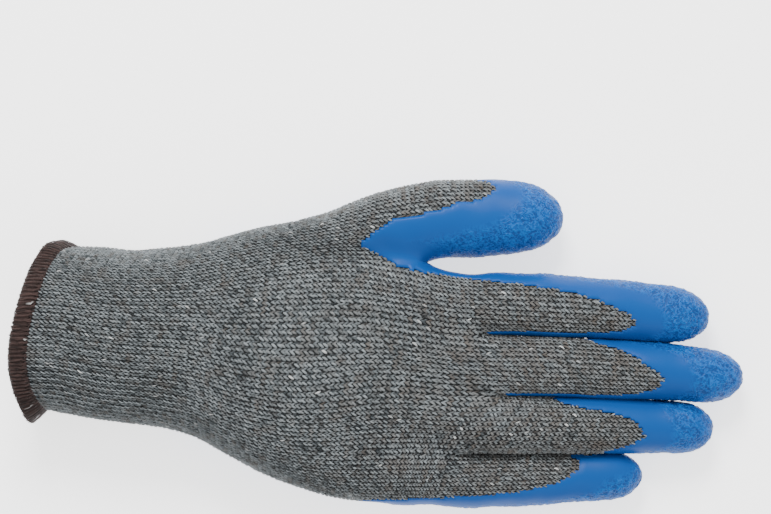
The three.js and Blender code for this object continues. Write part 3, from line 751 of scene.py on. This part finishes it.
def ropes(centre, facing, half_width, crown, sink):
    """Half-round strands: centre and facing are (strand, station, 3). Returns points and quads."""
    ahead = np.gradient(centre, axis=1)
    side = np.cross(facing, ahead)
    side /= np.linalg.norm(side, axis=-1, keepdims=True) + 1e-12
    left = centre - side * half_width - facing * sink
    right = centre + side * half_width - facing * sink
    verts = np.stack([left, centre + facing * crown, right], axis=2)
    count, stations = centre.shape[:2]
    corner = np.arange(count * stations * 3).reshape(count, stations, 3)
    quads = [corner[:, :-1, :-1], corner[:, :-1, 1:], corner[:, 1:, 1:], corner[:, 1:, :-1]]
    return verts.reshape(-1, 3), np.stack(quads, axis=-1).reshape(-1, 4)


# %% [markdown]
# ## Helpers for materials
#
# All materials are procedural, in the object's own coordinates, so nothing has to be unwrapped or painted. A
# node is made with `add`; its inputs are values or sockets. Mix nodes repeat the names of their sockets, so
# these are taken by number: 0 is the factor, 4 and 5 are the vectors, 6 and 7 the colours.

# %% Node trees
class Nodes:
    """A node tree, written from its inputs to its outputs."""

    def __init__(self, tree):
        self.tree = tree

    def add(self, kind, output=0, inputs=(), **properties):
        node = self.tree.nodes.new(kind)
        for key, value in properties.items():
            setattr(node, key, value)
        for key, value in dict(inputs).items():
            self.set(node.inputs[key], value)
        return node.outputs[output]

    def set(self, socket, value):
        if isinstance(value, bpy.types.NodeSocket):
            self.tree.links.new(value, socket)
        else:
            socket.default_value = value

    def carried(self):
        """The red, green and blue sockets of the values that a piece carries at its points."""
        tint = self.add("ShaderNodeAttribute", "Color", attribute_name="yarn")
        return self.add("ShaderNodeSeparateColor", "Red", {"Color": tint}).node.outputs

    def ramp(self, factor, *stops):
        node = self.tree.nodes.new("ShaderNodeValToRGB")
        elements = node.color_ramp.elements
        while len(elements) < len(stops):
            elements.new(0.5)
        for element, (at, colour) in zip(elements, stops):
            element.position = at
            element.color = (*colour, 1)
        self.set(node.inputs["Fac"], factor)
        return node.outputs["Color"]


class Shader(Nodes):
    """The nodes of a new material, which end in its Principled shader."""

    def __init__(self, name):
        self.material = bpy.data.materials.new(name)
        self.material.use_nodes = True
        super().__init__(self.material.node_tree)
        self.principled = self.tree.nodes["Principled BSDF"]

    def shade(self, **inputs):
        for key, value in inputs.items():
            self.set(self.principled.inputs[key.replace("_", " ")], value)


# %% [markdown]
# ## Spun yarn
#
# The liner is knitted from grey heathered yarn and the hem is sewn with brown thread, and both are spun from
# fine fibres. One node group serves both: dark to light by the value of the stitch and its fibres, then
# towards a warm tone, then towards a pale fleck. It also gives the height of the fibres. A picture of cloth
# would hold more detail, but it would repeat and could not follow each stitch.

# %% The yarn group
PALE_FLECK = (0.62, 0.63, 0.62, 1)


def yarn_group():
    group = bpy.data.node_groups.new("spun yarn", "ShaderNodeTree")
    for name in ("Dark", "Light", "Warm"):
        group.interface.new_socket(name, in_out="INPUT", socket_type="NodeSocketColor")
    group.interface.new_socket("Color", in_out="OUTPUT", socket_type="NodeSocketColor")
    group.interface.new_socket("Height", in_out="OUTPUT", socket_type="NodeSocketFloat")
    given = group.nodes.new("NodeGroupInput").outputs
    result = group.nodes.new("NodeGroupOutput").inputs
    g = Nodes(group)
    value = g.carried()
    place = g.add("ShaderNodeTexCoord", "Object")
    fibre = g.add("ShaderNodeTexNoise", "Fac", {"Vector": place, "Scale": 2600.0, "Detail": 3.0})
    shade = g.add("ShaderNodeMath", 0, {0: value["Red"], 1: fibre}, operation="ADD")
    shade = g.add("ShaderNodeMath", 0, {0: shade, 1: 0.5}, operation="SUBTRACT")
    plain = g.add("ShaderNodeMix", 2, {0: shade, 6: given["Dark"], 7: given["Light"]}, data_type="RGBA")
    tinted = g.add("ShaderNodeMix", 2, {0: value["Green"], 6: plain, 7: given["Warm"]}, data_type="RGBA")
    flecked = g.add("ShaderNodeMix", 2, {0: value["Blue"], 6: tinted, 7: PALE_FLECK}, data_type="RGBA")
    g.set(result["Color"], flecked)
    g.set(result["Height"], fibre)
    return group


yarn_look = yarn_group()
print("node group:", yarn_look.name, "with", len(yarn_look.nodes), "nodes")

# %% Yarn materials
def yarn_material(name, dark, light, warm):
    s = Shader(name)
    colours = {"Dark": (*dark, 1), "Light": (*light, 1), "Warm": (*warm, 1)}
    colour = s.add("ShaderNodeGroup", "Color", colours, node_tree=yarn_look)
    height = colour.node.outputs["Height"]
    bump = s.add("ShaderNodeBump", 0, {"Height": height, "Strength": 0.5, "Distance": 0.0002})
    s.shade(Base_Color=colour, Normal=bump, Roughness=0.92)
    s.shade(Sheen_Weight=0.3, Sheen_Roughness=0.4, Specular_IOR_Level=0.25)
    return s.material


knit_yarn = yarn_material("grey yarn", (0.006, 0.009, 0.011), (0.2, 0.222, 0.232), (0.085, 0.07, 0.058))
hem_yarn = yarn_material("brown thread", (0.007, 0.004, 0.0035), (0.052, 0.03, 0.027), (0.036, 0.02, 0.017))
print("materials:", knit_yarn.name, "and", hem_yarn.name)

# %% [markdown]
# ## Crinkled latex
#
# The latex is a deep blue rubber with fine worm-like wrinkles, half matt. The large wrinkles are real relief;
# the small ones between them are bump, drawn where a warped noise crosses its middle value. Displacing all of
# them would need many more points. The colour also carries painted light: the tops of the large wrinkles and
# the small wrinkle lines are painted paler, as painted highlight, and the hollows between the large wrinkles
# darker, as painted shade.

# %% Latex material
def latex_material():
    s = Shader("blue latex")
    value = s.carried()
    crinkle, height = value["Red"], value["Green"]
    place = s.add("ShaderNodeTexCoord", "Object")
    warp = s.add("ShaderNodeTexNoise", "Color", {"Vector": place, "Scale": 260.0, "Detail": 2.0})
    moved = s.add("ShaderNodeMix", 1, {0: 0.0025, 4: place, 5: warp}, data_type="VECTOR")
    pattern = {"Vector": moved, "Scale": 760.0, "Detail": 1.5, "Roughness": 0.5}
    ridge = s.add("ShaderNodeTexNoise", "Fac", pattern)
    ridge = s.add("ShaderNodeMath", 0, {0: ridge, 1: 0.5}, operation="SUBTRACT")
    ridge = s.add("ShaderNodeMath", 0, {0: ridge}, operation="ABSOLUTE")
    narrow = {"From Min": 0.0, "From Max": 0.11, "To Min": 1.0, "To Max": 0.0}
    ridge = s.add("ShaderNodeMapRange", 0, {"Value": ridge, **narrow})
    ridge = s.add("ShaderNodeMath", 0, {0: ridge, 1: crinkle}, operation="MULTIPLY")
    grain = s.add("ShaderNodeTexNoise", "Fac", {"Vector": place, "Scale": 3200.0, "Detail": 2.0})
    fine = s.add("ShaderNodeMath", 0, {0: grain, 1: 0.07}, operation="MULTIPLY")
    relief = s.add("ShaderNodeMath", 0, {0: ridge, 1: fine}, operation="ADD")
    bump = s.add("ShaderNodeBump", 0, {"Height": relief, "Strength": 0.75, "Distance": 0.00022})
    # painted light: the wrinkle height makes the blue paler on the tops and darker in the hollows, and the
    # small wrinkle lines paler still, as painted highlight and painted shade
    tone = s.add("ShaderNodeMath", 0, {0: height, 1: 0.42, 2: 0.22}, operation="MULTIPLY_ADD")
    tone = s.add("ShaderNodeMath", 0, {0: ridge, 1: 0.6, 2: tone}, operation="MULTIPLY_ADD")
    colour = s.ramp(tone, (0.0, (0.0, 0.017, 0.08)), (0.45, (0.0, 0.054, 0.238)), (1.0, (0.0, 0.098, 0.37)))
    s.shade(Base_Color=colour, Normal=bump, Roughness=0.42, Specular_IOR_Level=0.16)
    return s.material


latex = latex_material()
print("material:", latex.name)

# %% [markdown]
# ## The knit
#
# A stitch of plain knit shows two legs that lean together in a V. Here each cell of a wale and course holds
# one leg: odd and even cells lean opposite ways, and one of each pair lies a little nearer. The nearer leg is
# painted lighter and the other darker, as painted light and shade from one side. A bump texture would be
# lighter, but at the rim and along the latex the real strands show their thickness. A leg keeps its colour
# for a few stitches along a course, as heathered yarn does, and the cuff has ribs, whose raised wales are
# painted lighter than the hollows between them, as painted shade.

# %% The legs of the stitches
LEG_ACROSS = np.array([-0.5, -0.24, 0.22, 0.5])
LEG_ALONG = np.array([-0.6, -0.24, 0.24, 0.6])
LEG_HEIGHT = np.array([-0.2, 0.4, 0.4, -0.2])
LEG_WIDTH = np.array([0.18, 0.34, 0.34, 0.18])
# the near leg of each pair reaches further, lies higher, and is fuller than the far one; its colour is
# painted lighter and the far one's darker, as painted light and shade from one side
NEAR_REACH, NEAR_LEVEL, NEAR_PLUMP, NEAR_LIT_TONE = 1.1, 0.07, 1.12, 0.66
FAR_REACH, FAR_LEVEL, FAR_PLUMP, FAR_SHADED_TONE = 0.8, -0.1, 0.85, 0.36
SLUB_SHARE = 0.008


def stitches(tube, keep):
    """The legs of a tube's bare stitches, one to each cell: points, quads and yarn values."""
    rows, cols = np.nonzero(keep)
    if not len(rows):
        return np.zeros((0, 3)), np.zeros((0, 4), int), np.zeros((0, 3))
    jitter = random.normal(0, 1, (len(rows), 5))
    wale, course = tube.wale[rows, cols], tube.course[rows, cols]
    side = np.where(cols % 2, 1, -1)
    key = len(tube.name)
    shade = np.array([noise.noise(Vector((w * 0.32, c * 5.3, key))) for w, c in zip(wale, course)])
    warm = np.array([noise.noise(Vector((w * 0.2 + 40, c * 3.1, key))) for w, c in zip(wale, course)])
    broad = np.array([noise.noise(Vector((w * 0.06, c * 0.1, 9 + key))) for w, c in zip(wale, course)])
    centre, _ = tube.at(wale, course)
    beside, _ = tube.at(wale + 1, course)
    pitch = np.linalg.norm(beside - centre, axis=1)[:, None, None]
    at = centre[:, 0] / MM - shift.x
    elastic = 1 - smooth((at - CUFF_LENGTH + 10) / 25)
    pull = side * (0.1 + 0.04 * elastic)
    rib = elastic * np.cos(math.pi * (wale - 2) / 2)
    near = side > 0
    reach = np.where(near, NEAR_REACH, FAR_REACH)[:, None] * (1 + 0.16 * jitter[:, 1:2])
    w = (wale - pull)[:, None] + side[:, None] * LEG_ACROSS * reach + 0.07 * jitter[:, 2:3]
    c = course[:, None] + LEG_ALONG + 0.12 * jitter[:, 4:5]
    point, facing = tube.at(w, np.clip(c, 0, tube.courses))
    level = (np.where(near, NEAR_LEVEL, FAR_LEVEL) + 0.2 * rib + 0.05 * jitter[:, 3])[:, None]
    middle = point + facing * ((LEG_HEIGHT + level) * MM)[..., None]
    plump = np.where(near, NEAR_PLUMP, FAR_PLUMP)[:, None, None]
    verts, quads = ropes(middle, facing, LEG_WIDTH[None, :, None] * pitch * plump, 0.2 * MM, 0.12 * MM)
    # painted light and shade: the near leg is painted lighter and the far one darker, and the raised ribs of
    # the cuff lighter than the hollows between them; the noise and jitter terms are the yarn's own heather
    tone = np.where(near, NEAR_LIT_TONE, FAR_SHADED_TONE) + 0.15 * rib
    tone = tone + 0.28 * shade + 0.14 * broad + 0.17 * jitter[:, 0]
    slub = (random.random(len(rows)) < SLUB_SHARE) * random.uniform(0.15, 0.7, len(rows))
    warmth = 0.06 + 0.24 * smooth((at - 60) / 120) + 0.7 * warm
    values = np.clip(np.stack([tone, warmth, slub], axis=1), 0, 1)
    return verts, quads, np.repeat(values, len(LEG_ALONG) * 3, axis=0)

# %% Cuff, hand and finger stitches
def joined(parts):
    """Several (points, quads, values) as one."""
    verts, quads, values = [], [], []
    total = 0
    for v, q, c in parts:
        verts.append(v)
        quads.append(q + total)
        values.append(c)
        total += len(v)
    return np.concatenate(verts), np.concatenate(quads), np.concatenate(values)


WRIST_SPLIT = 55
by_name = {tube.name: tube for tube in tubes}
body, hand = by_name["body"], by_name["hand"]
fingers = [tube for tube in tubes if tube not in (body, hand)]
place_x = body.at(body.wale, body.course)[0][..., 0] / MM - shift.x
groups = {
    "cuff_stitches": [stitches(body, body.bare & (place_x < WRIST_SPLIT))],
    "hand_stitches": [stitches(body, body.bare & (place_x >= WRIST_SPLIT)), stitches(hand, hand.bare)],
    "finger_stitches": [stitches(tube, tube.bare) for tube in fingers],
}
for name, parts in groups.items():
    verts, quads, values = joined(parts)
    piece(name, verts, quads, knit_yarn, values)

# %% [markdown]
# ## The base cloth
#
# Between real stitches one sees more yarn, in shade, and no daylight. A plain cloth lies under the strands, a
# little deeper, and deeper still below the ribs of the cuff; its yarn value is set almost to the darkest
# grey, as painted shade in the gaps. It is the same skin, subdivided once less, and takes the place of the
# knitted solid. A second layer of strands would look much the same through the gaps.

# %% Base cloth
BASE_DEPTH, CUFF_EXTRA_DEPTH = 0.32, 0.1
base_mesh, base_points, base_normals = subdivided(LEVELS - 1, "base_cloth")
base_x = base_points[:, 0] / MM - shift.x
depth = (BASE_DEPTH + CUFF_EXTRA_DEPTH * (1 - smooth((base_x - CUFF_LENGTH + 6) / 12))) * MM
base_mesh.vertices.foreach_set("co", (base_points - base_normals * depth[:, None]).astype(np.float32).ravel())
base_mesh.update()
base = bpy.data.objects.new("base_cloth", base_mesh)
bpy.context.collection.objects.link(base)
tint = base_mesh.color_attributes.new("yarn", "FLOAT_COLOR", "POINT")
# painted shade: the base cloth takes a yarn value of 0.02, almost the darkest grey, for the shade between the
# stitches
tint.data.foreach_set("color", np.tile([0.02, 0.1, 0, 1], len(base_points)).astype(np.float32))
base_mesh.polygons.foreach_set("use_smooth", np.ones(len(base_mesh.polygons), bool))
base_mesh.materials.clear()
base_mesh.materials.append(knit_yarn)
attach(base, "root")
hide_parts("knit_shell")
print("base_cloth", len(base_points), "points")

# %% Worm-like ridges
def ridged(p):
    """Worm-like ridges between 0 and 1 at a place in millimetres."""
    q = p * 0.3
    bend = Vector((noise.noise(q), noise.noise(q + Vector((9, 0, 0))), noise.noise(q + Vector((0, 9, 0)))))
    wave = noise.noise(p * 0.34 + bend * 0.9)
    return max(0, 1 - abs(wave) * 5.5)

# %% [markdown]
# ## The coat
#
# The latex lies on the knit like a skin. It is a grid over every coated stitch, one step to each wale and two
# to each course, welded where the tubes meet. A shell cut from the hand would have a clean edge, and lose the
# steps that the stitches leave in the real one.

# %% Covering the coated stitches
COAT_LIFT, WELD = 0.62, 0.012
coat = bmesh.new()


def cover(tube):
    """Quads over the coated stitches of one tube."""
    w, c = np.meshgrid(np.arange(tube.wales), np.arange(tube.courses * 2 + 1) / 2)
    point, facing = tube.at(w, c)
    raised = point + facing * COAT_LIFT * MM
    verts = {}

    def vert_at(r, k):
        k %= tube.wales
        if (r, k) not in verts:
            verts[r, k] = coat.verts.new(raised[r, k])
        return verts[r, k]

    for r, k in np.argwhere(np.repeat(~tube.bare, 2, axis=0)):
        coat.faces.new((vert_at(r, k), vert_at(r, k + 1), vert_at(r + 1, k + 1), vert_at(r + 1, k)))


for tube in tubes:
    cover(tube)
bmesh.ops.remove_doubles(coat, verts=coat.verts, dist=WELD * MM)
bmesh.ops.recalc_face_normals(coat, faces=coat.faces)
if max(coat.faces, key=lambda f: f.calc_center_median().x).normal.x < 0:
    bmesh.ops.reverse_faces(coat, faces=coat.faces)
coat.normal_update()
print(len(coat.faces), "faces of latex")

# %% Relief
PLAIN_BAND, WIDER_ON_BACK, BAND_FADE = 3, 4.5, 6
RIDGE_HEIGHT, EDGE_SINK, EDGE_REACH = 0.3, 0.22, 1.4
rim_edges = [e for e in coat.edges if len(e.link_faces) == 1]
nearest = kdtree.KDTree(len(rim_edges))
for n, e in enumerate(rim_edges):
    nearest.insert((e.verts[0].co + e.verts[1].co) / 2, n)
nearest.balance()
tint = coat.verts.layers.float_color.new("yarn")
moves = []
for v in coat.verts:
    away = nearest.find(v.co)[2] / MM
    upward = clamp01((v.normal.z - 0.45) / 0.4)
    crinkled = ease((away - PLAIN_BAND - WIDER_ON_BACK * upward) / BAND_FADE)
    height = ridged(v.co / MM)
    # the green value is the wrinkle height, which the latex paints as highlight on the tops and shade in the
    # hollows; on the smooth band it stays at the middle
    v[tint] = (crinkled, lerp(0.5, height, crinkled), 0, 1)
    lift = RIDGE_HEIGHT * crinkled * height - EDGE_SINK * (1 - ease(away / EDGE_REACH))
    moves.append(v.co + v.normal * lift * MM)
for v, co in zip(coat.verts, moves):
    v.co = co
    v.co.z = max(co.z, 0.05 * MM)
print(len(rim_edges), "edges along its rim")

# %% Skirt and piece
SKIRT = 0.55
skirt = bmesh.ops.extrude_edge_only(coat, edges=rim_edges)["geom"]
for v in skirt:
    if isinstance(v, bmesh.types.BMVert):
        v.co -= v.normal * SKIRT * MM if v.normal.length else Vector()
for face in coat.faces:
    face.smooth = True
coat_mesh = bpy.data.meshes.new("latex")
coat.to_mesh(coat_mesh)
coat.free()
coating = bpy.data.objects.new("latex", coat_mesh)
bpy.context.collection.objects.link(coating)
coat_mesh.materials.append(latex)
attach(coating, "root")
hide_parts("latex_coating")
print("latex", len(coat_mesh.vertices), "points")

# %% [markdown]
# ## The hem
#
# The cuff's edge is overlocked: a soft rounded band that flares a little at the two sides. A curve with a
# round profile would be simpler, but it could not be flat and flared. The band is a ring of eight corners,
# placed from the rim of the skin and smoothed by a modifier.

# %% Hem band
# back and across, as shares of the hem's width and thickness
HEM_OUTLINE = np.array([
    (0, -0.32), (0, 0.32), (0.12, 0.5), (0.8, 0.5), (1, 0.3), (1, -0.3), (0.8, -0.5), (0.12, -0.5),
])
HEM_STEPS, HEM_CORNERS = 92, len(HEM_OUTLINE)


def hem_place(wale, back, across, extra=0.0):
    """A point of the hem: shares of its width and thickness, and extra millimetres outwards."""
    point, facing = body.at(wale, np.zeros_like(wale))
    out = facing.copy()
    out[..., 0] = 0
    out /= np.linalg.norm(out, axis=-1, keepdims=True)
    middle = point - facing * 0.7 * MM
    flare = np.where(out[..., 1] > 0, FLARE_THUMB_SIDE, FLARE_OUTER_SIDE) * np.abs(out[..., 1]) ** 3
    rise = across * (HEM_THICKNESS + 2 * extra) + flare * back
    moved = middle + out * (rise * MM)[..., None]
    moved[..., 0] -= (HEM_GAP + back * HEM_WIDTH + extra * np.sign(back - 0.5) * (np.abs(across) < 0.4)) * MM
    moved[..., 2] = np.maximum(moved[..., 2], 0.3 * MM)
    return moved, out


band = np.arange(HEM_STEPS) * body.wales / HEM_STEPS
wale_grid, corner_grid = np.meshgrid(band, np.arange(HEM_CORNERS), indexing="ij")
hem_points, _ = hem_place(wale_grid, HEM_OUTLINE[corner_grid, 0], HEM_OUTLINE[corner_grid, 1])
number = np.arange(HEM_STEPS * HEM_CORNERS).reshape(HEM_STEPS, HEM_CORNERS)
after = np.roll(number, -1, axis=0)
around = [number, after, np.roll(after, -1, axis=1), np.roll(number, -1, axis=1)]
hem_quads = np.stack(around, axis=-1).reshape(-1, 4)
hem_tint = np.tile([0.15, 0.3, 0], (HEM_STEPS * HEM_CORNERS, 1))
hem = piece("hem_band", hem_points.reshape(-1, 3), hem_quads, hem_yarn, hem_tint, ["cuff_hem"])
hem_smooth = hem.modifiers.new("subdivision", "SUBSURF")
hem_smooth.levels = hem_smooth.render_levels = 2

# %% [markdown]
# ## The overlock thread
#
# The thread goes over the band in loops, every other one slanting further, and none lies quite straight. Each
# loop is a half-round strand of its own, like the stitches; a striped texture would look printed at the rim.

# %% Hem thread
THREAD_HALF_WIDTH, THREAD_CROWN, THREAD_SINK, THREAD_LIFT = 0.34, 0.2, 0.15, 0.12
THREAD_WANDER, THREAD_SHAKE = 0.24, 0.02
# back and across along one loop, as shares of the hem's width and thickness
WRAP = np.array([
    (-0.1, 0.36), (0.02, 0.5), (0.2, 0.54), (0.5, 0.56), (0.82, 0.5), (0.98, 0.3), (1.02, 0), (0.98, -0.3),
    (0.82, -0.5), (0.5, -0.56), (0.2, -0.54), (0.02, -0.5), (-0.1, -0.36),
])
WRAPS = 240
turn = np.arange(WRAPS) * body.wales / WRAPS
lean = np.linspace(-1.5, 1.5, len(WRAP)) * np.where(np.arange(WRAPS) % 2, 1, -0.4)[:, None]
wale_grid = turn[:, None] + lean + random.normal(0, THREAD_WANDER, (WRAPS, len(WRAP)))
across_grid = WRAP[:, 1] + random.normal(0, THREAD_SHAKE, wale_grid.shape)
back_grid = WRAP[:, 0] + random.normal(0, THREAD_SHAKE, wale_grid.shape)
thread, _ = hem_place(wale_grid, back_grid, across_grid, THREAD_LIFT)
middle_line, _ = hem_place(wale_grid, np.full_like(back_grid, 0.5), np.zeros_like(across_grid))
facing = thread - middle_line
facing /= np.linalg.norm(facing, axis=-1, keepdims=True)
profile = [THREAD_HALF_WIDTH * MM, THREAD_CROWN * MM, THREAD_SINK * MM]
thread_points, thread_quads = ropes(thread, facing, *profile)
stations = WRAPS * len(WRAP)
tone = np.repeat(random.normal(0.42, 0.1, WRAPS), len(WRAP)) + random.normal(0, 0.24, stations)
tone = np.clip(tone, 0, 1)
fleck = (random.random(stations) < 0.004) * 0.5
thread_tint = np.repeat(np.stack([tone, tone * 0.5, fleck], axis=1), 3, axis=0)
piece("hem_thread_wraps", thread_points, thread_quads, hem_yarn, thread_tint)

# %% [markdown]
# ## Floor and surroundings
#
# A catalogue picture has a plain white background. A white floor that glows a little, under an even white
# sky, gives that and keeps a faint shadow under the glove. Laying a cut-out glove on white would lose it.

# %% Floor and sky
floor_shader = Shader("floor")
floor_shader.shade(Base_Color=(0.95, 0.95, 0.95, 1), Roughness=0.9)
floor_shader.shade(Emission_Color=(1, 1, 1, 1), Emission_Strength=1.6)
bpy.ops.mesh.primitive_plane_add(size=6)
floor = bpy.context.object
floor.name = "floor"
floor.data.materials.append(floor_shader.material)

world = bpy.data.worlds.new("studio")
bpy.context.scene.world = world
world.use_nodes = True
world.node_tree.nodes["Background"].inputs["Color"].default_value = (1, 1, 1, 1)
world.node_tree.nodes["Background"].inputs["Strength"].default_value = 1.35

# %% Softboxes
def softbox(name, location, target, size, energy):
    light = bpy.data.lights.new(name, "AREA")
    light.energy, light.size = energy, size
    obj = bpy.data.objects.new(name, light)
    obj.location = location
    obj.rotation_euler = (Vector(target) - Vector(location)).to_track_quat("-Z", "Y").to_euler()
    bpy.context.collection.objects.link(obj)


softbox("key", (-0.1, 0.75, 0.75), (0, 0, 0), 0.4, 16)
softbox("fill", (0.5, -0.7, 0.8), (0, 0, 0), 0.8, 2)

# %% Camera
camera_data = bpy.data.cameras.new("camera")
camera_data.lens = 142
camera_data.sensor_width = 36
camera = bpy.data.objects.new("camera", camera_data)
camera.location = (0.0019, 0.0303, 1.1)
bpy.context.collection.objects.link(camera)
bpy.context.scene.camera = camera

# %% Triangles
for obj in bpy.data.objects:
    if obj.type == "MESH":
        obj.data.calc_loop_triangles()
        print(obj.name, len(obj.data.loop_triangles), "triangles")
